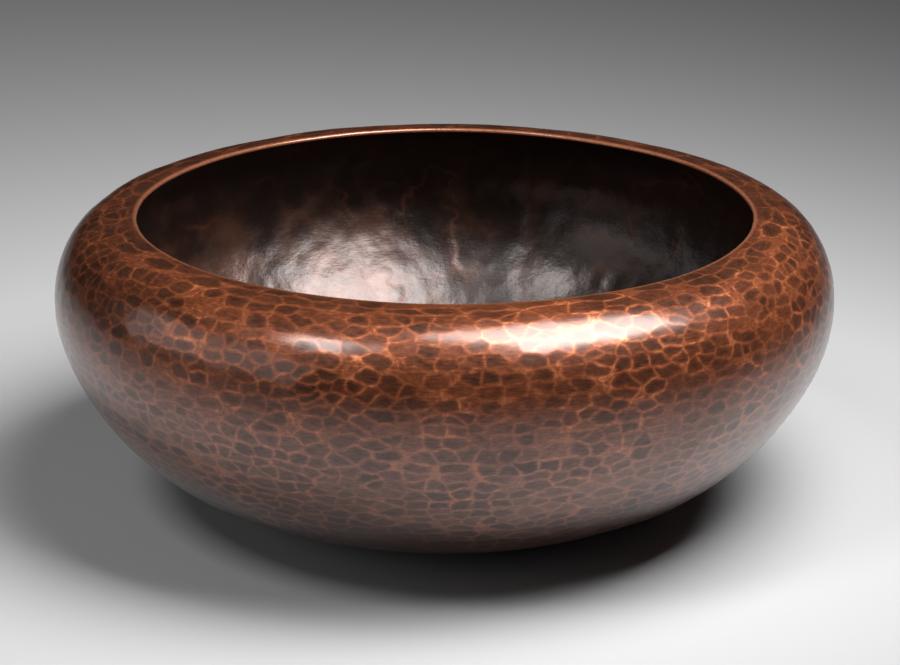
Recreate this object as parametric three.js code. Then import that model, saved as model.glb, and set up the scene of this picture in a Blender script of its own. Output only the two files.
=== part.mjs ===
// Hammered copper bowl: a wide, closed-in bowl raised from one round sheet.
//
// The bowl is a single piece of metal. The sheet is hammered up over stakes, so it has one
// continuous wall: a small flat base, a full rounded side that is widest about a third of the
// way down, and a shoulder that turns in until it is almost level and ends in a plain, rounded
// cut edge. There is no applied foot, wire, seam, handle or fastener.
//
// Millimetres, +Z up. The origin is the centre of the flat base, on the surface it stands on.
import * as THREE from 'three';

// ---- driving dimensions ----------------------------------------------------------------
const HEIGHT = 102.2;          // base to the top of the lip
const MOUTH_R = 104.0;         // radius of the mouth, at the innermost point of the lip
const WALL = 1.5;              // sheet thickness, 14 to 15 gauge
const BASE_R = 42.0;           // radius of the flat that the bowl stands on
const SEGMENTS = 80;           // facets around the axis
const LIP_STEPS = 4;           // facets around the rounded cut edge

// Outside of the wall: [radius, height above the base], from the flat base up to the lip.
const OUTSIDE = [
  [BASE_R, 0.0],
  [47.0, 0.42],
  [51.9, 1.22],
  [59.9, 3.02],
  [68.6, 5.38],
  [78.1, 8.52],
  [88.2, 12.62],
  [99.6, 19.0],
  [109.9, 27.8],
  [118.0, 37.3],
  [123.8, 46.0],
  [128.1, 54.6],
  [131.0, 63.4],
  [132.2, 71.6],
  [131.9, 79.0],
  [130.3, 85.7],
  [127.7, 91.2],
  [124.2, 95.8],
  [120.3, 98.9],
  [116.2, 100.8],
  [112.3, 101.7],
  [108.5, 102.1],
  [MOUTH_R + WALL / 2, HEIGHT],
];

// ---- wall section ----------------------------------------------------------------------
const outside = OUTSIDE.map(([r, z]) => new THREE.Vector2(r, z));

// The inside is the outside moved in by the sheet's thickness, square to the wall.
function inwardOffset(points, distance) {
  return points.map((p, i) => {
    const before = points[Math.max(i - 1, 0)];
    const after = points[Math.min(i + 1, points.length - 1)];
    // the flat base and the near-level lip set the direction at the two ends
    const tangent = i === 0 ? new THREE.Vector2(1, 0.04)
      : i === points.length - 1 ? new THREE.Vector2(-1, 0)
        : after.clone().sub(before);
    tangent.normalize();
    return new THREE.Vector2(p.x - tangent.y * distance, p.y + tangent.x * distance);
  });
}
const inside = inwardOffset(outside, WALL);

// The cut edge of the sheet, filed to a half round between the outside and the inside.
const lip = [];
for (let i = 1; i < LIP_STEPS; i += 1) {
  const a = Math.PI / 2 + (Math.PI * i) / LIP_STEPS;
  lip.push(new THREE.Vector2(
    MOUTH_R + WALL / 2 + (WALL / 2) * Math.cos(a),
    HEIGHT - WALL / 2 + (WALL / 2) * Math.sin(a),
  ));
}

const section = [
  new THREE.Vector2(0, 0),
  ...outside,
  ...lip,
  ...inside.slice(1).reverse(),
  new THREE.Vector2(BASE_R - 0.4, WALL),
  new THREE.Vector2(0, WALL),
];

// ---- the bowl --------------------------------------------------------------------------
const geometry = new THREE.LatheGeometry(section, SEGMENTS);
geometry.rotateX(Math.PI / 2);
geometry.computeVertexNormals();

const bowl = new THREE.Mesh(
  geometry,
  new THREE.MeshStandardMaterial({ color: 0x7d4029, roughness: 0.34, metalness: 0.9 }),
);
bowl.name = 'bowl';

const part = new THREE.Group();
part.add(bowl);

export default part;
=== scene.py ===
"""Looks for the hammered copper bowl: one dense mesh of the raised sheet, with every hammer mark in its surface."""
import math

import bpy
import numpy as np
from mathutils import Matrix, Vector


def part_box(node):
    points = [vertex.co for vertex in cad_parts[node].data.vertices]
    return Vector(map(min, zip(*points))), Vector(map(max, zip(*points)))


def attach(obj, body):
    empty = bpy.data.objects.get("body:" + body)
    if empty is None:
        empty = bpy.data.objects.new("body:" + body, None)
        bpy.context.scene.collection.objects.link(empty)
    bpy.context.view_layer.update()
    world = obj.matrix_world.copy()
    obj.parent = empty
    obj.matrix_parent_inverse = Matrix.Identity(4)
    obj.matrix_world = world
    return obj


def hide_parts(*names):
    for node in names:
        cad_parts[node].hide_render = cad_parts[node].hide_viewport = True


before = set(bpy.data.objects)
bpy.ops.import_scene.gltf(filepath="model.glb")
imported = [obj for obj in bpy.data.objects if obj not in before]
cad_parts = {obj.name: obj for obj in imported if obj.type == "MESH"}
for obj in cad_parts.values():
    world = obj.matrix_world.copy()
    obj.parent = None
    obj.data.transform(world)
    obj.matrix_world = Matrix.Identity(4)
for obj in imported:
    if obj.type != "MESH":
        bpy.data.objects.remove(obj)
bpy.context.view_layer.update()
BOX_LO, BOX_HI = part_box("bowl")

rng = np.random.default_rng(20)
TAU = 2 * math.pi

# ---------------------------------------------------------------------------------------
# the wall's section, in mm: the same line as the CAD part's outside
# ---------------------------------------------------------------------------------------
HEIGHT, MAX_R, MOUTH_R, WALL = 102.2, 132.2, 104.0, 1.5
SECTION = np.array([
    (0, 0), (14, 0), (28, 0), (37, 0), (42, 0), (47, 0.42), (51.9, 1.22), (59.9, 3.02), (68.6, 5.38),
    (78.1, 8.52), (88.2, 12.62), (99.6, 19.0), (109.9, 27.8), (118.0, 37.3), (123.8, 46.0), (128.1, 54.6),
    (131.0, 63.4), (132.2, 71.6), (131.9, 79.0), (130.3, 85.7), (127.7, 91.2), (124.2, 95.8), (120.3, 98.9),
    (116.2, 100.8), (112.3, 101.7), (108.5, 102.1), (MOUTH_R + WALL / 2, HEIGHT)], float)
SECTION[:, 0] *= (BOX_HI.x - BOX_LO.x) * 500 / MAX_R
SECTION[:, 1] *= (BOX_HI.z - BOX_LO.z) * 1000 / HEIGHT


def spline(P, n):
    """A natural cubic spline through P, by chord length, at n even steps of arc length."""
    t = np.concatenate([[0], np.cumsum(np.hypot(*np.diff(P, axis=0).T))])
    h, m = np.diff(t), len(t)
    A, b = np.eye(m), np.zeros((m, 2))
    for i in range(1, m - 1):
        A[i, i - 1:i + 2] = h[i - 1], 2 * (h[i - 1] + h[i]), h[i]
        b[i] = 6 * ((P[i + 1] - P[i]) / h[i] - (P[i] - P[i - 1]) / h[i - 1])
    M = np.linalg.solve(A, b)

    def at(u):
        k = np.clip(np.searchsorted(t, u) - 1, 0, m - 2)
        a, c, hk = (t[k + 1] - u)[:, None], (u - t[k])[:, None], h[k][:, None]
        return (M[k] * a ** 3 + M[k + 1] * c ** 3) / (6 * hk) + (P[k] / hk - M[k] * hk / 6) * a + (P[k + 1] / hk - M[k + 1] * hk / 6) * c

    u = np.linspace(0, t[-1], 20000)
    q = at(u)
    q[:, 1] = np.maximum(q[:, 1], 0)
    s = np.concatenate([[0], np.cumsum(np.hypot(*np.diff(q, axis=0).T))])
    even = np.linspace(0, s[-1], n)
    return even, np.interp(even, s, q[:, 0]), np.interp(even, s, q[:, 1])


S_, R_, Z_ = spline(SECTION, 6000)
dr, dz = np.gradient(R_, S_), np.gradient(Z_, S_)
k = np.ones(61) / 61
dr = np.convolve(np.pad(dr, 30, mode="edge"), k, "valid")
dz = np.convolve(np.pad(dz, 30, mode="edge"), k, "valid")
L = np.hypot(dr, dz)
TR_, TZ_ = dr / L, dz / L
KS_ = np.abs(np.gradient(np.unwrap(np.arctan2(TZ_, TR_)), S_))
KS_ = np.convolve(np.pad(KS_, 150, mode="edge"), np.ones(301) / 301, "valid")
S_END = S_[-1]


def section(s):
    """Radius, height, tangent (r, z) of the smooth outside at arc length s."""
    return np.interp(s, S_, R_), np.interp(s, S_, Z_), np.interp(s, S_, TR_), np.interp(s, S_, TZ_)


S_BASE = 42.0
S_AT_MAX = S_[np.argmax(R_)]


def smooth(x, a, b):
    t = np.clip((x - a) / (b - a), 0, 1)
    return t * t * (3 - 2 * t)


# ---------------------------------------------------------------------------------------
# hammer work: every blow is a shallow dish, and the surface is the lowest dish at each point,
# so the ridges stand where neighbouring dishes meet
# ---------------------------------------------------------------------------------------
def surface_grid(rows, cols, offset):
    r, z, tr, tz = section(rows)
    r, z = r - tz * offset, z + tr * offset
    phi = np.arange(cols) * TAU / cols
    c, s = np.cos(phi), np.sin(phi)
    P = np.stack([r[:, None] * c, r[:, None] * s, np.repeat(z[:, None], cols, 1)], 2)
    return P, r, z, tr, tz, phi


def lay(rings, pitch, seed, stray_s, stray_p):
    """Where the blows fall: ring by ring, then nudged apart, as a smith steps round the bowl. Arrays s, phi, gap, pitch."""
    g = np.random.default_rng(seed)
    out, p0 = [], 0.0
    for i, s0 in enumerate(rings):
        gap = (rings[min(i + 1, len(rings) - 1)] - rings[max(i - 1, 0)]) / (2 if 0 < i < len(rings) - 1 else 1)
        w = pitch(s0)
        n = max(1, int(round(TAU * float(np.interp(s0, S_, R_)) / w)))
        n = max(1, n + int(g.integers(-3, 4)) * (n > 30))
        p0 += (0.5 + g.normal(0, 0.12)) * TAU / n
        phi = p0 + (np.arange(n) + g.normal(0, stray_p, n) + 0.9 * np.sin(np.arange(n) * TAU / n * 5 + i) + 0.5 * np.sin(np.arange(n) * TAU / n * 13 + 2.3 * i)) * TAU / n
        sway = 0.16 * np.sin(3 * phi + i) + 0.12 * np.sin(8 * phi + 2.1 * i)
        s = s0 + (g.normal(0, stray_s, n) + sway) * gap
        out.append(np.stack([np.clip(s, 0, S_END - 0.3), phi % TAU, np.full(n, gap), np.full(n, w)], 1))
    q = np.concatenate(out)
    for _ in range(3):
        r, z, tr, tz = section(q[:, 0])
        C = np.stack([r * np.cos(q[:, 1]), r * np.sin(q[:, 1]), z], 1).astype(np.float32)
        X = np.stack([-np.sin(q[:, 1]), np.cos(q[:, 1]), 0 * r], 1)
        Y = np.stack([tr * np.cos(q[:, 1]), tr * np.sin(q[:, 1]), tz], 1)
        mx, my = np.zeros(len(q)), np.zeros(len(q))
        for a in range(0, len(q), 500):
            b = slice(a, min(a + 500, len(q)))
            D = C[b, None, :] - C[None, :, :]
            u = (D * X[b, None, :]).sum(2) / q[b, None, 3]
            v = (D * Y[b, None, :]).sum(2) / q[b, None, 2]
            d = np.sqrt(u * u + v * v) + 1e-6
            w = np.where((d < 0.90) & (d > 1e-5), 0.90 - d, 0) * 0.40
            mx[b], my[b] = (w * u / d).sum(1), (w * v / d).sum(1)
        q[:, 1] = (q[:, 1] + mx * q[:, 3] / np.maximum(r, 6)) % TAU
        q[:, 0] = np.clip(q[:, 0] + my * q[:, 2] * 0.6 * (1 - 0.9 * smooth(q[:, 0], S_END - 14, S_END - 6)), 0, S_END - 0.3)
    return q


def dishes(q, seed, deep, size, flat, spin, bold=1.0):
    """The dish that each blow leaves. A late blow is whole and deep; early ones keep what the later ones leave of them."""
    g = np.random.default_rng(seed)
    s, phi, gap, pitch = q.T
    n = len(q)
    age = g.uniform(0, 1, n)
    grow = size * (1.17 - 0.17 * age)
    Rx = 0.5 * pitch * grow * np.exp(g.normal(0, 0.09 * bold, n))
    Ry = 0.5 * gap * grow * np.exp(g.normal(0, 0.07 * bold, n))
    depth = deep * (0.70 + 0.30 * age) * np.exp(g.normal(0, 0.12 * bold, n))
    ks = np.interp(s, S_, KS_)
    kp = np.maximum(np.interp(s, S_, TZ_), 0) / np.maximum(np.interp(s, S_, R_), 8.0)
    A = depth / Rx ** 2 + flat * kp / 2
    B = depth / Ry ** 2 + flat * ks / 2
    c0 = -depth - flat * (kp * Rx ** 2 + ks * Ry ** 2) / 4
    return np.stack([s, phi, c0, A, B, g.normal(0, spin, n)], 1), age, depth


def hammer(P, rows, cols, r, sites, reach, offset):
    """Lowest and second lowest dish at each grid point, and how far the point is from the ridge between them."""
    nr = len(rows)
    H1 = np.full((nr, cols), 9.0, np.float32)
    H2 = np.full((nr, cols), 9.0, np.float32)
    I1 = np.zeros((nr, cols), np.int32)
    I2 = np.zeros((nr, cols), np.int32)
    s, phi, c0, A, B, rot = sites.T
    rr, zz, tr, tz = section(s)
    rr, zz = rr - tz * offset, zz + tr * offset
    C = np.stack([rr * np.cos(phi), rr * np.sin(phi), zz], 1)
    ep = np.stack([-np.sin(phi), np.cos(phi), 0 * phi], 1)
    es = np.stack([tr * np.cos(phi), tr * np.sin(phi), tz], 1)
    cr, sr = np.cos(rot)[:, None], np.sin(rot)[:, None]
    X, Y = ep * cr + es * sr, -ep * sr + es * cr
    i0 = np.searchsorted(rows, s - reach)
    i1 = np.searchsorted(rows, s + reach)
    for k in range(len(s)):
        a, b = i0[k], i1[k]
        if b <= a:
            continue
        rmin = max(min(r[a], r[b - 1]), 0.5)
        half = int(math.ceil(reach / (rmin * TAU / cols)))
        j = int(round(phi[k] / TAU * cols))
        if 2 * half + 1 >= cols:
            idx = np.arange(cols)
        else:
            idx = np.arange(j - half, j + half + 1) % cols
        w = np.ix_(np.arange(a, b), idx)
        D = P[w] - C[k]
        q = (c0[k] + A[k] * (D @ X[k]) ** 2 + B[k] * (D @ Y[k]) ** 2).astype(np.float32)
        h1, h2 = H1[w], H2[w]
        m, m2 = q < h1, q < h2
        I2[w] = np.where(m, I1[w], np.where(m2, k, I2[w]))
        H2[w] = np.where(m, h1, np.where(m2, q, h2))
        I1[w] = np.where(m, k, I1[w])
        H1[w] = np.where(m, q, h1)
    gx = np.zeros((nr, cols, 3))
    for I, sign in ((I1, -1), (I2, 1)):
        D = P - C[I]
        gx += sign * 2 * ((A[I] * (D * X[I]).sum(2))[..., None] * X[I] + (B[I] * (D * Y[I]).sum(2))[..., None] * Y[I])
    dist = (H2 - H1) / np.maximum(np.sqrt((gx ** 2).sum(2)), 0.01)
    lo, hi = np.minimum(I1, I2).astype(np.int64), np.maximum(I1, I2).astype(np.int64)
    edge = ((lo * 7919 + hi * 104729) % 9973) / 9973.0
    return H1.astype(float), H2.astype(float), I1, dist, edge


def waves(P, n, scale, seed):
    """Soft, repeatable unevenness: a sum of plane waves of about the given wavelength, mm, with unit spread."""
    g = np.random.default_rng(seed)
    v = np.zeros(P.shape[:2])
    for _ in range(n):
        d = g.normal(size=3)
        d *= TAU / (scale * g.uniform(0.7, 1.5)) / np.linalg.norm(d)
        v += np.sin(P @ d + g.uniform(0, TAU))
    return v * math.sqrt(2 / n)


# ---- outside --------------------------------------------------------------------------
COLS = 2048
STEP = TAU * MAX_R / COLS
rows_o = np.concatenate([np.arange(1.4, S_BASE, 1.0), np.arange(S_BASE, S_END - 0.25, STEP), [S_END]])
P_o, r_o, z_o, tr_o, tz_o, phi_o = surface_grid(rows_o, COLS, 0.0)

# rings of blows, from the lip down: long ones by the lip, then about 7.6 by 4.3 mm
down = [2.3, 8.1, 13.6, 18.4]
gr = np.random.default_rng(3)
while down[-1] < S_END - 8:
    down.append(down[-1] + 4.35 + gr.normal(0, 0.28))
ring_s = [S_END - d for d in down][::-1]


def pitch_o(s):
    return 7.6 + 6.0 * float(smooth(s, S_END - 13, S_END - 7))


where_o = lay(ring_s, pitch_o, 11, 0.14, 0.15)
DEEP = 0.050
sites_o, age_o, depth_o = dishes(where_o, 13, DEEP, 1.06, 0.05, 0.12, 1.0)
lip_row = smooth(where_o[:, 0], S_END - 12, S_END - 4)
# the hammer's face wasn't quite true, so the edges of its marks wander a little
e_phi = np.stack([-np.sin(phi_o), np.cos(phi_o), 0 * phi_o], 1)[None, :, :]
e_s = np.stack([tr_o[:, None] * np.cos(phi_o), tr_o[:, None] * np.sin(phi_o), np.repeat(tz_o[:, None], COLS, 1)], 2)
P_w = P_o + (0.36 * waves(P_o, 10, 6.5, 14))[..., None] * e_phi + (0.26 * waves(P_o, 10, 6.5, 15))[..., None] * e_s
H1, H2, I1, dist_o, edge_o = hammer(P_w, rows_o, COLS, r_o, sites_o, 13.0, 0.0)
cap = 0.014 + 0.010 * waves(P_o, 10, 24.0, 30)
into = (cap - H1) / np.maximum(2 * np.sqrt(np.maximum(H1 - sites_o[I1, 2], 1e-4) * 0.5 * (sites_o[I1, 3] + sites_o[I1, 4])), 0.01)
H1 = np.minimum(H1, cap)
H2 = np.minimum(H2, cap + 0.05)
soft = 0.020
cut = H1 - soft / 4 * np.maximum(0, 1 - (H2 - H1) / soft) ** 2
disp_o = cut + 0.5 * DEEP
near_lip = smooth(rows_o, S_END - 4.6, S_END - 1.0)[:, None]
on_base = 1 - smooth(rows_o, S_BASE - 3.0, S_BASE + 3.0)[:, None]
disp_o = disp_o * (1 - 0.85 * near_lip)
disp_o = disp_o * (1 - 0.8 * on_base)
disp_o += 0.11 * waves(P_o, 14, 46.0, 31) * smooth(rows_o, S_BASE, S_BASE + 22)[:, None] * (1 - near_lip)
disp_o += 0.018 * waves(P_o, 18, 15.0, 32) * smooth(rows_o, S_BASE, S_BASE + 12)[:, None] * (1 - near_lip)

# ---- inside ---------------------------------------------------------------------------
COLS_I = 1024
rows_i = np.concatenate([np.arange(1.4, S_END - 0.8, 1.05), [S_END]])
P_i, r_i, z_i, tr_i, tz_i, phi_i = surface_grid(rows_i, COLS_I, WALL)
ring_i = [5.0]
while ring_i[-1] < S_END - 14:
    ring_i.append(ring_i[-1] + 12.0)
where_i = lay(ring_i, lambda s: 16.0, 21, 0.22, 0.24)
DEEP_I = 0.15
sites_i, age_i, depth_i = dishes(where_i, 22, DEEP_I, 1.05, 0.0, 0.6, 1.6)
G1, G2, J1, dist_i, edge_i = hammer(P_i, rows_i, COLS_I, r_i, sites_i, 26.0, WALL)
G1, G2 = np.minimum(G1, 0.10), np.minimum(G2, 0.22)
soft_i = 0.10
dish_i = G1 - soft_i / 4 * np.maximum(0, 1 - (G2 - G1) / soft_i) ** 2
near_lip_i = smooth(rows_i, S_END - 12.0, S_END - 3.0)[:, None]
disp_i = (dish_i + 0.5 * DEEP_I) * (1 - near_lip_i) * 1.0


def crease(scale, seed, width):
    """Long wandering creases: the zero line of a soft field. Gives the distance to it and the side, in mm."""
    w = waves(P_i, 9, scale, seed) + 0.22 * waves(P_i, 12, scale / 4, seed + 1) + 0.10 * waves(P_i, 12, scale / 9, seed + 2)
    gs = np.gradient(w, rows_i, axis=0)
    gp = (np.roll(w, -1, 1) - np.roll(w, 1, 1)) / (2 * TAU / COLS_I * np.maximum(r_i, 8.0))[:, None]
    d = w / np.sqrt(gs ** 2 + gp ** 2 + (0.35 / scale) ** 2)
    return d, np.tanh(d / width)


far_a, side_a = crease(75.0, 61, 1.3)
far_b, side_b = crease(38.0, 71, 1.0)
low_i = 1 - smooth(z_i, 52, 74)[:, None]
keep_a = smooth(waves(P_i, 10, 60.0, 81), -0.6, 0.8) * (0.25 + 0.75 * low_i)
keep_b = smooth(waves(P_i, 10, 45.0, 82), 0.2, 1.3)
disp_i += (0.15 * waves(P_i, 16, 34.0, 41) + 0.046 * waves(P_i, 18, 10.0, 42) + 0.013 * waves(P_i, 18, 5.0, 43)) * (1 - near_lip_i)
disp_i += 0.035 * np.abs(waves(P_i, 14, 15.0, 44)) * (1 - near_lip_i)
disp_i += (0.130 * side_a * keep_a + 0.080 * side_b * keep_b) * (1 - near_lip_i)
disp_i *= 0.35 + 0.65 * smooth(rows_i, 20, 60)[:, None]


def warp(P):
    """The slight unevenness of a bowl made by hand, the same through the whole wall."""
    x, y, z = P[..., 0], P[..., 1], P[..., 2]
    a = np.arctan2(y, x)
    up = np.clip(z / HEIGHT, 0, 1)
    grow = up ** 1.5 * (0.28 * np.cos(2 * a + 0.6) + 0.20 * np.cos(3 * a + 2.2) + 0.12 * np.cos(5 * a + 4.0) + 0.08 * np.cos(9 * a + 1.0))
    lift = up ** 2 * (0.16 * np.cos(2 * a + 3.9) + 0.12 * np.cos(3 * a + 0.4) + 0.07 * np.cos(7 * a + 2.0)) - 0.12 * up ** 2
    r = np.maximum(np.hypot(x, y), 1e-6)
    k = 1 + grow / np.maximum(r, 40)
    return np.stack([x * k, y * k, z + lift], -1)


def push(P, phi, tr, tz, disp, side):
    """Moves grid points by disp along the outward (side 1) or inward (side -1) normal."""
    nr, nz = tz * side, -tr * side
    N = np.stack([nr[:, None] * np.cos(phi), nr[:, None] * np.sin(phi), np.repeat(nz[:, None], len(phi), 1)], 2)
    return P + N * disp[..., None]


V_o = push(P_o, phi_o, tr_o, tz_o, disp_o, 1)
V_o[..., 2] = np.where(P_o[..., 2] <= 1e-6, np.maximum(-disp_o + 0.0, 0.0) * 0.35, np.maximum(V_o[..., 2], 0.0))
V_i = push(P_i, phi_i, tr_i, tz_i, disp_i, -1)

# ---- what the paint needs to know, kept on the mesh -------------------------------------
# ham: red = worn line on the ridge, green = how thin the patina is plus painted light and shade (lighter towards the
# front right, darker towards the base, a lit patch low on the inside), blue = warm edge beside the ridge, alpha = 1
# outside; red and blue are also stronger towards the front right, partly painted light
back = (S_END - rows_o)[:, None]
cover = waves(P_o, 14, 42.0, 51)                       # where the polish has cut more and less
patchy = smooth(cover + 0.8 * waves(P_o, 16, 17.0, 52), -1.5, 1.3)
place = 1.08 - 0.34 * smooth(back, 30, 52) - 0.30 * smooth(back, 80, 105)
proud = 0.45 + 0.55 * smooth(H1 / DEEP, -0.70, 0.05)       # the highest ridges are polished most
edge_d = np.minimum(dist_o, np.abs(into))             # to the rim of the mark, mm
between = smooth(-into, -0.05, 0.45)                  # 1 on metal that no blow has reached
# lighter towards the front right, darker at the sides and back: partly handling wear, partly painted light where the
# key light falls; it scales the worn lines, the warm edges and the patina
aim = np.cos(phi_o - math.radians(-67.0))[None, :]
front_wear_and_light = 0.36 + 0.64 * smooth(aim, 0.0, 0.80)
thread = 0.27 * np.exp(0.30 * waves(P_o, 16, 3.2, 53))  # half width of the worn line, mm
broken = smooth(waves(P_o, 16, 2.4, 54) + 0.7 * waves(P_o, 16, 6.0, 55), -1.7, 0.9)
line = np.exp(-(edge_d / thread) ** 2) * (0.20 + 0.80 * edge_o) * (0.30 + 0.70 * patchy) * (0.25 + 0.75 * broken) * place * proud * front_wear_and_light
line = np.maximum(line, 0.16 * between * patchy * broken * place * front_wear_and_light)
line *= 1 - 0.75 * near_lip
open_o = np.clip((H1 - sites_o[I1, 2]) / np.maximum(depth_o[I1], 0.01), 0, 1.4)
tone_o = np.clip(0.25 + 0.45 * age_o + np.random.default_rng(5).normal(0, 0.22, len(sites_o)), 0, 1)[I1]
dark_o = (0.26 + 0.58 * tone_o) * smooth(edge_d, 0.05, 1.0) * (1 - 0.8 * between) * (1 - 0.35 * smooth(open_o, 0.1, 1.1))
dark_o *= 1 - 0.45 * near_lip
patina_thin_and_lit = 1 - dark_o
# lighter high on the shoulder, partly handling wear and partly painted light; darker towards the base: painted shade
patina_thin_and_lit += 0.04 * smooth(-back, -42, -16) - 0.30 * smooth(back, 80, 106)
patina_thin_and_lit -= 0.14 * smooth(-back, -9, -2)
# painted shade, partly handling wear: the upper body darker on the sides and back
patina_thin_and_lit -= 0.34 * (1 - front_wear_and_light) * smooth(-back, -62, -30)
glow = (1 - 0.45 * smooth(back, 34, 54)) * np.maximum(np.exp(-(edge_d / 0.60)), 0.40 * between) * (0.30 + 0.70 * patchy) * (0.4 + 0.6 * edge_o) * place * (1 - 0.7 * near_lip) * front_wear_and_light
ham_o = np.stack([line, np.clip(patina_thin_and_lit, 0, 1.2) / 1.2, glow, np.ones_like(line)], 2)
back_i = (S_END - rows_i)[:, None]
line_i = np.exp(-((far_a - 0.5) / 0.65) ** 2) * keep_a + 0.45 * np.exp(-((far_b - 0.4) / 0.5) ** 2) * keep_b
line_i = np.clip(line_i * smooth(waves(P_i, 12, 22.0, 83), -1.2, 1.2), 0, 1) * (1 - near_lip_i)
# the second term is a painted pool of light: a lighter, warmer patch low on the inside's -x side, where the key light
# falls
high_and_lit_i = np.clip((G1 - sites_i[J1, 2]) / DEEP_I, 0, 1) + 1.6 * low_i * smooth(-np.cos(phi_i), -0.25, 0.6)[None, :]
glow_i = np.clip(np.exp(-np.abs(far_a) / 2.6) * keep_a + 0.4 * np.exp(-np.abs(far_b) / 2.0) * keep_b, 0, 1)
ham_i = np.stack([line_i, high_and_lit_i, glow_i, np.zeros_like(line_i)], 2)
# rub: how much the edge of the lip is worn to bare copper
rub_o = np.exp(-((S_END - rows_o) / 0.5) ** 2)[:, None] * np.ones(COLS)
rub_i = np.exp(-((S_END - rows_i) / 0.5) ** 2)[:, None] * np.ones(COLS_I)


# ---------------------------------------------------------------------------------------
# one closed mesh: base, side, shoulder, lip, inside
# ---------------------------------------------------------------------------------------
def count_at(r, full):
    n = full
    while n > 48 and r < MAX_R * 0.52 * n / full:
        n //= 2
    return n


rings, along = [], [np.zeros(1)]  # rings hold positions, ham, rub, v along the sheet, zone
for i, s in enumerate(rows_o):
    n = count_at(r_o[i], COLS)
    st = COLS // n
    rings.append((V_o[i, ::st], ham_o[i, ::st], rub_o[i, ::st], s / S_END * 0.985, 0))
    along.append(np.full(n, 5 * s))
# the half round of the cut edge
cr, cz, rad = r_o[-1], z_o[-1] - WALL / 2, WALL / 2
top, bottom = V_o[-1], V_i[-1].repeat(2, 0)
LIP = 9
for i in range(1, LIP):
    a = math.pi / 2 + math.pi * i / LIP
    w = i / LIP
    ring = np.stack([(cr + rad * math.cos(a)) * np.cos(phi_o), (cr + rad * math.cos(a)) * np.sin(phi_o), np.full(COLS, cz + rad * math.sin(a))], 1)
    ring += (disp_o[-1][:, None] * (1 - w)) * np.array([0, 0, 1.0])
    # filed by hand: the edge is a little thicker and thinner along its length
    f = 0.07 * np.sin(phi_o * 11 + 1.0) + 0.05 * np.sin(phi_o * 23 + 2.0) + 0.05 * np.sin(phi_o * 5)
    rdir = np.stack([np.cos(phi_o), np.sin(phi_o), 0 * phi_o], 1)
    ring += rdir * (f * math.sin(math.pi * w))[:, None]
    h = np.zeros((COLS, 4))
    h[:, 1], h[:, 3] = 0.7, 1 - w
    rings.append((ring, h, np.full(COLS, 1.0), 0.985 + 0.015 * w, 0))
    along.append(np.full(COLS, 5 * (S_END + 2.4 * w)))
for i in range(len(rows_i) - 1, -1, -1):
    n = count_at(r_i[i], COLS_I)
    st = COLS_I // n
    rings.append((V_i[i, ::st], ham_i[i, ::st], rub_i[i, ::st], (S_END - rows_i[i]) / S_END, 1))
    along.append(np.full(n, 5 * (2 * S_END + 2.4 - rows_i[i])))

verts, ham, rub, start = [], [], [], []
n_v = 1
verts.append(np.array([[0, 0, 0.05]]))
ham.append(np.array([[0, 0.5, 0.0, 1.0]]))
rub.append(np.array([0.0]))
for P, h, w, v, zone in rings:
    start.append(n_v)
    verts.append(P)
    ham.append(h)
    rub.append(w)
    n_v += len(P)
verts.append(np.array([[0, 0, WALL + float(-disp_i[0].mean()) * 0 + 0.0]]))
ham.append(ham_i[0, :1])
rub.append(np.array([0.0]))
last = n_v
verts = np.concatenate(verts)
verts[last, 2] = rings[-1][0][:, 2].mean()
verts[0, 2] = rings[0][0][:, 2].mean()
ham, rub = np.concatenate(ham), np.concatenate(rub)
along.append(np.full(1, 10 * S_END))
sheet = np.stack([verts[:, 0], verts[:, 1], np.concatenate(along)], 1) / 1000.0
verts = warp(verts) / 1000.0

faces4, faces3 = [], []  # arrays of (vertex ids, turns, v, zone)


def add(store, ids, turns, vs, zone):
    store.append((np.stack(ids, 1), np.stack(turns, 1), np.stack(vs, 1), np.full(len(ids[0]), zone)))


P, h, w, v, zone = rings[0]
n = len(P)
j = np.arange(n)
add(faces3, [np.zeros(n, int), start[0] + (j + 1) % n, start[0] + j], [(j + 0.5) / n, (j + 1) / n, j / n], [0 * j + 0.0, 0 * j + v, 0 * j + v], 0)
for i in range(len(rings) - 1):
    a, b = len(rings[i][0]), len(rings[i + 1][0])
    va, vb = rings[i][3], rings[i + 1][3]
    zone = rings[i + 1][4]
    if zone == 1 and rings[i][4] == 0:
        va = 0.0
    sa, sb = start[i], start[i + 1]
    if a == b:
        j = np.arange(a)
        add(faces4, [sa + j, sa + (j + 1) % a, sb + (j + 1) % a, sb + j], [j / a, (j + 1) / a, (j + 1) / a, j / a],
            [0 * j + va, 0 * j + va, 0 * j + vb, 0 * j + vb], zone)
    elif a == 2 * b:
        j = np.arange(b)
        f0, f1, f2, c0, c1 = sa + 2 * j, sa + 2 * j + 1, sa + (2 * j + 2) % a, sb + j, sb + (j + 1) % b
        t0, t1, t2 = 2 * j / a, (2 * j + 1) / a, (2 * j + 2) / a
        A, B = 0 * j + va, 0 * j + vb
        add(faces3, [f0, f1, c0], [t0, t1, t0], [A, A, B], zone)
        add(faces3, [f1, f2, c1], [t1, t2, t2], [A, A, B], zone)
        add(faces3, [f1, c1, c0], [t1, t2, t0], [A, B, B], zone)
    else:
        j = np.arange(a)
        c0, c1, f0, f1, f2 = sa + j, sa + (j + 1) % a, sb + 2 * j, sb + 2 * j + 1, sb + (2 * j + 2) % b
        t0, t1, t2 = 2 * j / b, (2 * j + 1) / b, (2 * j + 2) / b
        A, B = 0 * j + va, 0 * j + vb
        add(faces3, [c0, f1, f0], [t0, t1, t0], [A, B, B], zone)
        add(faces3, [c0, c1, f1], [t0, t2, t1], [A, A, B], zone)
        add(faces3, [c1, f2, f1], [t2, t2, t1], [A, B, B], zone)
P, h, w, v, zone = rings[-1]
n = len(P)
j = np.arange(n)
add(faces3, [start[-1] + j, start[-1] + (j + 1) % n, np.full(n, last)], [j / n, (j + 1) / n, (j + 0.5) / n], [0 * j + v, 0 * j + v, 0 * j + 1.0], 1)

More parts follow.
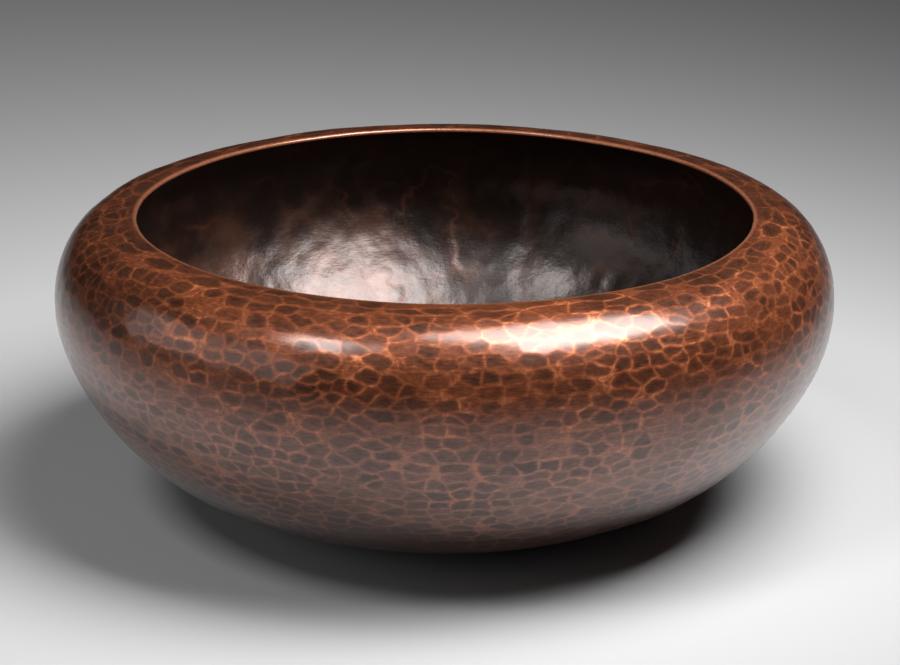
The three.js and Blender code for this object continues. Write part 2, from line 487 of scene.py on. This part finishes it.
q = [np.concatenate([f[k] for f in faces4]) for k in range(4)]
t = [np.concatenate([f[k] for f in faces3]) for k in range(4)]
loops = np.concatenate([q[0].ravel(), t[0].ravel()]).astype(np.int32)
loop_t = np.concatenate([q[1].ravel(), t[1].ravel()])
loop_v = np.concatenate([q[2].ravel(), t[2].ravel()])
total = np.concatenate([np.full(len(q[0]), 4), np.full(len(t[0]), 3)])
zone_f = np.concatenate([q[3], t[3]])
mid_f = np.concatenate([q[1].mean(1), t[1].mean(1)])
lstart = np.concatenate([[0], np.cumsum(total)[:-1]]).astype(np.int32)
zone_l, mid_l = np.repeat(zone_f, total), np.repeat(mid_f, total)

me = bpy.data.meshes.new("hammered_bowl")
me.vertices.add(len(verts))
me.vertices.foreach_set("co", verts.astype(np.float32).ravel())
me.loops.add(len(loops))
me.loops.foreach_set("vertex_index", loops)
me.polygons.add(len(total))
me.polygons.foreach_set("loop_start", lstart)
me.polygons.foreach_set("loop_total", total.astype(np.int32))
me.polygons.foreach_set("use_smooth", np.ones(len(total), bool))
me.polygons.foreach_set("material_index", zone_f.astype(np.int32))
me.update(calc_edges=True)
at = me.attributes.new("ham", "FLOAT_COLOR", "POINT")
at.data.foreach_set("color", ham.astype(np.float32).ravel())
at = me.attributes.new("sheet", "FLOAT_VECTOR", "POINT")
at.data.foreach_set("vector", sheet.astype(np.float32).ravel())
at = me.attributes.new("rub", "FLOAT", "POINT")
at.data.foreach_set("value", rub.astype(np.float32))
# the sheet laid flat: the outside in two halves, then the inside
uv = me.uv_layers.new(name="OFBake")
half_b = mid_l > 0.5
u = np.where(zone_l == 1, loop_t, np.where(half_b, loop_t * 2 - 1, loop_t * 2))
vv = np.where(zone_l == 1, 0.724 + 0.272 * loop_v, np.where(half_b, 0.364, 0.004) + 0.352 * loop_v)
uv.data.foreach_set("uv", np.stack([0.002 + 0.996 * u, vv], 1).astype(np.float32).ravel())
me.validate()

bowl = bpy.data.objects.new("hammered_bowl", me)
bpy.context.scene.collection.objects.link(bowl)


# ---------------------------------------------------------------------------------------
# copper with a waxed brown patina, rubbed through on the ridges
# ---------------------------------------------------------------------------------------
class Nodes:
    def __init__(self, tree):
        self.t = tree

    def new(self, kind, **kw):
        n = self.t.nodes.new(kind)
        for k, v in kw.items():
            setattr(n, k, v)
        return n

    def link(self, a, b):
        self.t.links.new(a, b)

    def put(self, socket, value):
        if hasattr(value, "is_output"):
            self.link(value, socket)
        else:
            socket.default_value = value

    def math(self, op, a, b=0.0, c=0.0, clamp=False):
        n = self.new("ShaderNodeMath", operation=op, use_clamp=clamp)
        for i, v in enumerate((a, b, c)):
            self.put(n.inputs[i], v)
        return n.outputs[0]

    def mix(self, f, a, b, blend="MIX"):
        n = self.new("ShaderNodeMix", data_type="RGBA", blend_type=blend)
        self.put(n.inputs[0], f)
        self.put(n.inputs[6], a if hasattr(a, "is_output") else (*a, 1.0))
        self.put(n.inputs[7], b if hasattr(b, "is_output") else (*b, 1.0))
        return n.outputs[2]

    def span(self, v, a, b, lo=0.0, hi=1.0, kind="SMOOTHSTEP"):
        n = self.new("ShaderNodeMapRange", interpolation_type=kind)
        self.put(n.inputs[0], v)
        for i, x in enumerate((a, b, lo, hi), 1):
            n.inputs[i].default_value = x
        return n.outputs[0]

    def noise(self, vec, scale, detail=3.0, rough=0.55, distort=0.0):
        n = self.new("ShaderNodeTexNoise")
        self.link(vec, n.inputs["Vector"])
        n.inputs["Scale"].default_value = scale
        n.inputs["Detail"].default_value = detail
        n.inputs["Roughness"].default_value = rough
        n.inputs["Distortion"].default_value = distort
        return n.outputs["Fac"]


def copper(name, wax, gloss):
    m = bpy.data.materials.new(name)
    m.use_nodes = True
    N = Nodes(m.node_tree)
    m.node_tree.nodes.clear()
    out = N.new("ShaderNodeOutputMaterial")
    b = N.new("ShaderNodeBsdfPrincipled")
    N.link(b.outputs[0], out.inputs[0])
    co = N.new("ShaderNodeTexCoord").outputs["Object"]
    a = N.new("ShaderNodeAttribute", attribute_name="ham")
    sep = N.new("ShaderNodeSeparateColor")
    N.link(a.outputs["Color"], sep.inputs[0])
    line, patina_thin_and_lit, glow = sep.outputs[0], sep.outputs[1], sep.outputs[2]
    outside = a.outputs["Alpha"]
    rub = N.new("ShaderNodeAttribute", attribute_name="rub").outputs["Fac"]

    cloud = N.noise(co, 16.0, 3.0, 0.6)       # patches of thinner and thicker patina, about 60 mm
    patch = N.noise(co, 70.0, 3.0, 0.6)       # about 15 mm
    fine = N.noise(co, 520.0, 4.0, 0.65)      # about 2 mm
    grain = N.noise(co, 2600.0, 3.0, 0.6)     # about 0.4 mm
    sheet = N.new("ShaderNodeAttribute", attribute_name="sheet").outputs["Vector"]
    streak = N.noise(sheet, 330.0, 3.0, 0.6)  # brushing round the bowl, about 3 by 0.6 mm

    # patina: dark in the dishes, thinner and redder up towards the ridges
    # the green channel also carries painted light and shade: lighter towards the front right, darker towards the base
    wear_and_light = N.math("ADD", N.math("MULTIPLY", patina_thin_and_lit, 1.2), N.math("MULTIPLY", N.math("SUBTRACT", patch, 0.5), 0.55))
    wear_and_light = N.math("ADD", wear_and_light, N.math("MULTIPLY", N.math("SUBTRACT", cloud, 0.5), 0.60))
    wear_and_light = N.math("ADD", wear_and_light, N.math("MULTIPLY", N.math("SUBTRACT", fine, 0.5), 0.18))
    wear_and_light = N.math("ADD", wear_and_light, N.math("MULTIPLY", N.math("SUBTRACT", streak, 0.5), 0.25))
    f = N.span(wear_and_light, 0.10, 1.15)
    dark = N.mix(N.span(patch, 0.3, 0.7), (0.050, 0.0180, 0.0098), (0.072, 0.0255, 0.0135))
    warm = N.mix(N.span(cloud, 0.35, 0.65), (0.120, 0.0325, 0.0130), (0.162, 0.0450, 0.0180))
    body = N.mix(f, dark, warm)
    body = N.mix(N.math("MULTIPLY", glow, 0.60, clamp=True), body, (0.32, 0.080, 0.027))
    # brushed and scuffed: short darker and lighter strokes round the bowl
    scuff = N.math("ADD", N.math("MULTIPLY", streak, 0.5), N.math("ADD", N.math("MULTIPLY", grain, 0.25), N.math("MULTIPLY", fine, 0.25)))
    scuff = N.span(scuff, 0.38, 0.62, 0.66, 1.40, "LINEAR")
    tint = N.new("ShaderNodeCombineColor")
    for i in range(3):
        N.link(scuff, tint.inputs[i])
    body = N.mix(1.0, body, tint.outputs[0], "MULTIPLY")
    # below the widest part a painted floor sheen makes it greyer and lighter, and right down by the base painted shade
    # makes it dark
    down = N.new("ShaderNodeSeparateXYZ")
    N.link(sheet, down.inputs[0])
    lower_sheen = N.span(down.outputs[2], 5 * (S_END - 60) / 1000, 5 * (S_END - 34) / 1000, 1.0, 0.0)
    base_shade = N.span(down.outputs[2], 5 * (S_END - 108) / 1000, 5 * (S_END - 84) / 1000, 1.0, 0.0)
    sheen_and_base_shade = N.new("ShaderNodeHueSaturation")
    N.link(body, sheen_and_base_shade.inputs["Color"])
    N.link(N.math("SUBTRACT", 1.0, N.math("MULTIPLY", lower_sheen, 0.26)), sheen_and_base_shade.inputs["Saturation"])
    N.link(N.math("ADD", 1.0, N.math("SUBTRACT", N.math("MULTIPLY", lower_sheen, 0.38), N.math("MULTIPLY", base_shade, 0.80))), sheen_and_base_shade.inputs["Value"])
    body = sheen_and_base_shade.outputs[0]
    # worn lines, stronger towards the front right, partly painted light
    lf = N.math("MULTIPLY", line, N.span(N.math("ADD", N.math("MULTIPLY", patch, 0.7), N.math("ADD", N.math("MULTIPLY", fine, 0.8), N.math("MULTIPLY", streak, 0.4))), 0.65, 1.25, 0.40, 1.30), clamp=True)
    bare = N.mix(N.span(fine, 0.3, 0.7), (0.60, 0.165, 0.062), (0.68, 0.240, 0.105))
    body = N.mix(lf, body, bare)
    # inside: darker, nearly black brown
    din = N.mix(N.span(cloud, 0.3, 0.7), (0.012, 0.0062, 0.0046), (0.021, 0.0098, 0.0066))
    win = N.mix(N.span(patch, 0.3, 0.7), (0.040, 0.0175, 0.0115), (0.068, 0.0285, 0.0175))
    # the inside's green channel includes the painted lit patch low on the -x side
    rust_and_lit_patch = N.span(N.math("ADD", N.math("MULTIPLY", patina_thin_and_lit, 0.35), N.math("ADD", N.math("MULTIPLY", N.math("SUBTRACT", patch, 0.5), 0.8), N.math("MULTIPLY", N.math("SUBTRACT", cloud, 0.5), 1.6))), 0.10, 0.80)
    inner = N.mix(rust_and_lit_patch, din, win)
    inner = N.mix(N.math("MULTIPLY", glow, 0.45), inner, (0.090, 0.030, 0.0145))
    inner = N.mix(N.math("MULTIPLY", line, 0.60), inner, (0.25, 0.080, 0.036))
    col = N.mix(outside, inner, body)
    # lip rubbed to bare metal
    lip = N.math("MULTIPLY", rub, N.span(fine, 0.25, 0.6, 0.55, 1.0), clamp=True)
    col = N.mix(lip, col, (0.27, 0.098, 0.050))
    N.link(col, b.inputs["Base Color"])

    rough = N.math("ADD", 0.335, N.math("MULTIPLY", N.math("SUBTRACT", fine, 0.5), 0.20))
    rough = N.math("ADD", rough, N.math("MULTIPLY", N.math("SUBTRACT", patch, 0.5), 0.16))
    rough = N.math("ADD", rough, N.math("MULTIPLY", N.math("SUBTRACT", streak, 0.5), 0.14))
    N.link(rough, b.inputs["Roughness"])
    b.inputs["Metallic"].default_value = 0.44
    b.inputs["Specular IOR Level"].default_value = 0.25
    b.inputs["Coat Weight"].default_value = wax
    b.inputs["Coat Roughness"].default_value = gloss
    b.inputs["Coat IOR"].default_value = 1.5

    hgt = N.math("ADD", N.math("MULTIPLY", fine, 0.45), N.math("ADD", N.math("MULTIPLY", grain, 0.08), N.math("MULTIPLY", streak, 0.35)))
    pebble = N.noise(co, 300.0, 2.0, 0.5)     # the inside is left rougher
    hgt_in = N.math("ADD", N.math("MULTIPLY", fine, 2.2), N.math("ADD", N.math("MULTIPLY", pebble, 3.0), N.math("MULTIPLY", streak, 1.0)))
    hgt = N.math("ADD", N.math("MULTIPLY", hgt, outside), N.math("MULTIPLY", hgt_in, N.math("SUBTRACT", 1.0, outside)))
    bump = N.new("ShaderNodeBump")
    bump.inputs["Strength"].default_value = 0.5
    bump.inputs["Distance"].default_value = 0.00006
    N.link(hgt, bump.inputs["Height"])
    N.link(bump.outputs[0], b.inputs["Normal"])
    N.link(bump.outputs[0], b.inputs["Coat Normal"])
    return m


bowl.data.materials.append(copper("patinated_copper", 0.80, 0.18))
bowl.data.materials.append(copper("patinated_copper_inside", 0.60, 0.25))
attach(bowl, "root")
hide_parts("bowl")


# ---------------------------------------------------------------------------------------
# floor, light, camera
# ---------------------------------------------------------------------------------------
def floor_material():
    m = bpy.data.materials.new("pale_floor")
    m.use_nodes = True
    N = Nodes(m.node_tree)
    b = m.node_tree.nodes["Principled BSDF"]
    b.inputs["Base Color"].default_value = (0.45, 0.45, 0.452, 1)
    b.inputs["Roughness"].default_value = 0.9
    b.inputs["Specular IOR Level"].default_value = 0.1
    return m


def floor():
    me = bpy.data.meshes.new("floor")
    s = 4.0
    me.from_pydata([(-s, -s, 0), (s, -s, 0), (s, s, 0), (-s, s, 0)], [], [(0, 1, 2, 3)])
    ob = bpy.data.objects.new("floor", me)
    ob.location.z = -0.0002
    me.materials.append(floor_material())
    bpy.context.scene.collection.objects.link(ob)


def softbox(name, at, look, w, h, power, tint=(1, 1, 1), spread=180):
    d = bpy.data.lights.new(name, "AREA")
    d.shape, d.size, d.size_y, d.energy, d.color = "RECTANGLE", w, h, power, tint
    d.spread = math.radians(spread)
    ob = bpy.data.objects.new(name, d)
    ob.location = at
    ob.rotation_euler = (Vector(look) - Vector(at)).to_track_quat("-Z", "Y").to_euler()
    ob.visible_camera = False
    bpy.context.scene.collection.objects.link(ob)
    return ob


floor()
softbox("key", (0.180, -0.125, 0.515), (-0.12, 0.11, 0.0), 0.37, 0.37, 3.3, spread=114)
softbox("left", (-0.93, -0.87, 1.75), (0, 0, 0.06), 0.50, 0.58, 5.8, spread=120)
softbox("left_panel", (-1.35, -0.45, 0.54), (0, 0, 0.08), 1.7, 0.66, 3.9)
softbox("backdrop", (1.7, 2.6, 1.5), (1.5, 2.5, 0), 0.6, 0.6, 4.4, spread=80)

world = bpy.data.worlds.new("studio")
bpy.context.scene.world = world
world.use_nodes = True
world.node_tree.nodes["Background"].inputs[0].default_value = (0.5, 0.52, 0.55, 1)
world.node_tree.nodes["Background"].inputs[1].default_value = 0.012

# the camera, solved from the rim and the outline: aimed so that the rim's centre is off the middle of the picture
E, ROLL, CX, CY, F, DIST = math.radians(16.387), math.radians(-0.107), 445.23, 207.97, 3061.3, 1.040
C = np.array([0, -DIST * math.cos(E), DIST * math.sin(E)])
zc = C / np.linalg.norm(C)
xc = np.array([1.0, 0, 0])
yc = np.cross(zc, xc)
Rm = np.array([xc, yc, zc])
ux, uy = (CX - 450) / F, -(CY - 332.5) / F
a = math.atan(ux)
bb = math.atan(uy * math.cos(a))
Ry = np.array([[math.cos(a), 0, -math.sin(a)], [0, 1, 0], [math.sin(a), 0, math.cos(a)]])
Rx = np.array([[1, 0, 0], [0, math.cos(bb), -math.sin(bb)], [0, math.sin(bb), math.cos(bb)]])
Rz = np.array([[math.cos(ROLL), -math.sin(ROLL), 0], [math.sin(ROLL), math.cos(ROLL), 0], [0, 0, 1]])
M = Rx @ Ry @ Rz @ Rm
rim_z = BOX_HI.z
mw = Matrix.Identity(4)
for i in range(3):
    for j in range(3):
        mw[i][j] = M[j][i]
    mw[i][3] = C[i] + (rim_z if i == 2 else 0)
cd = bpy.data.cameras.new("camera")
cd.sensor_width, cd.lens = 36.0, F * 36 / 900
cd.clip_start, cd.clip_end = 0.05, 50
cam = bpy.data.objects.new("camera", cd)
cam.matrix_world = mw
bpy.context.scene.collection.objects.link(cam)
bpy.context.scene.camera = cam
bpy.context.scene.view_settings.view_transform = "Standard"
bpy.context.scene.view_settings.look = "None"

bpy.context.view_layer.update()
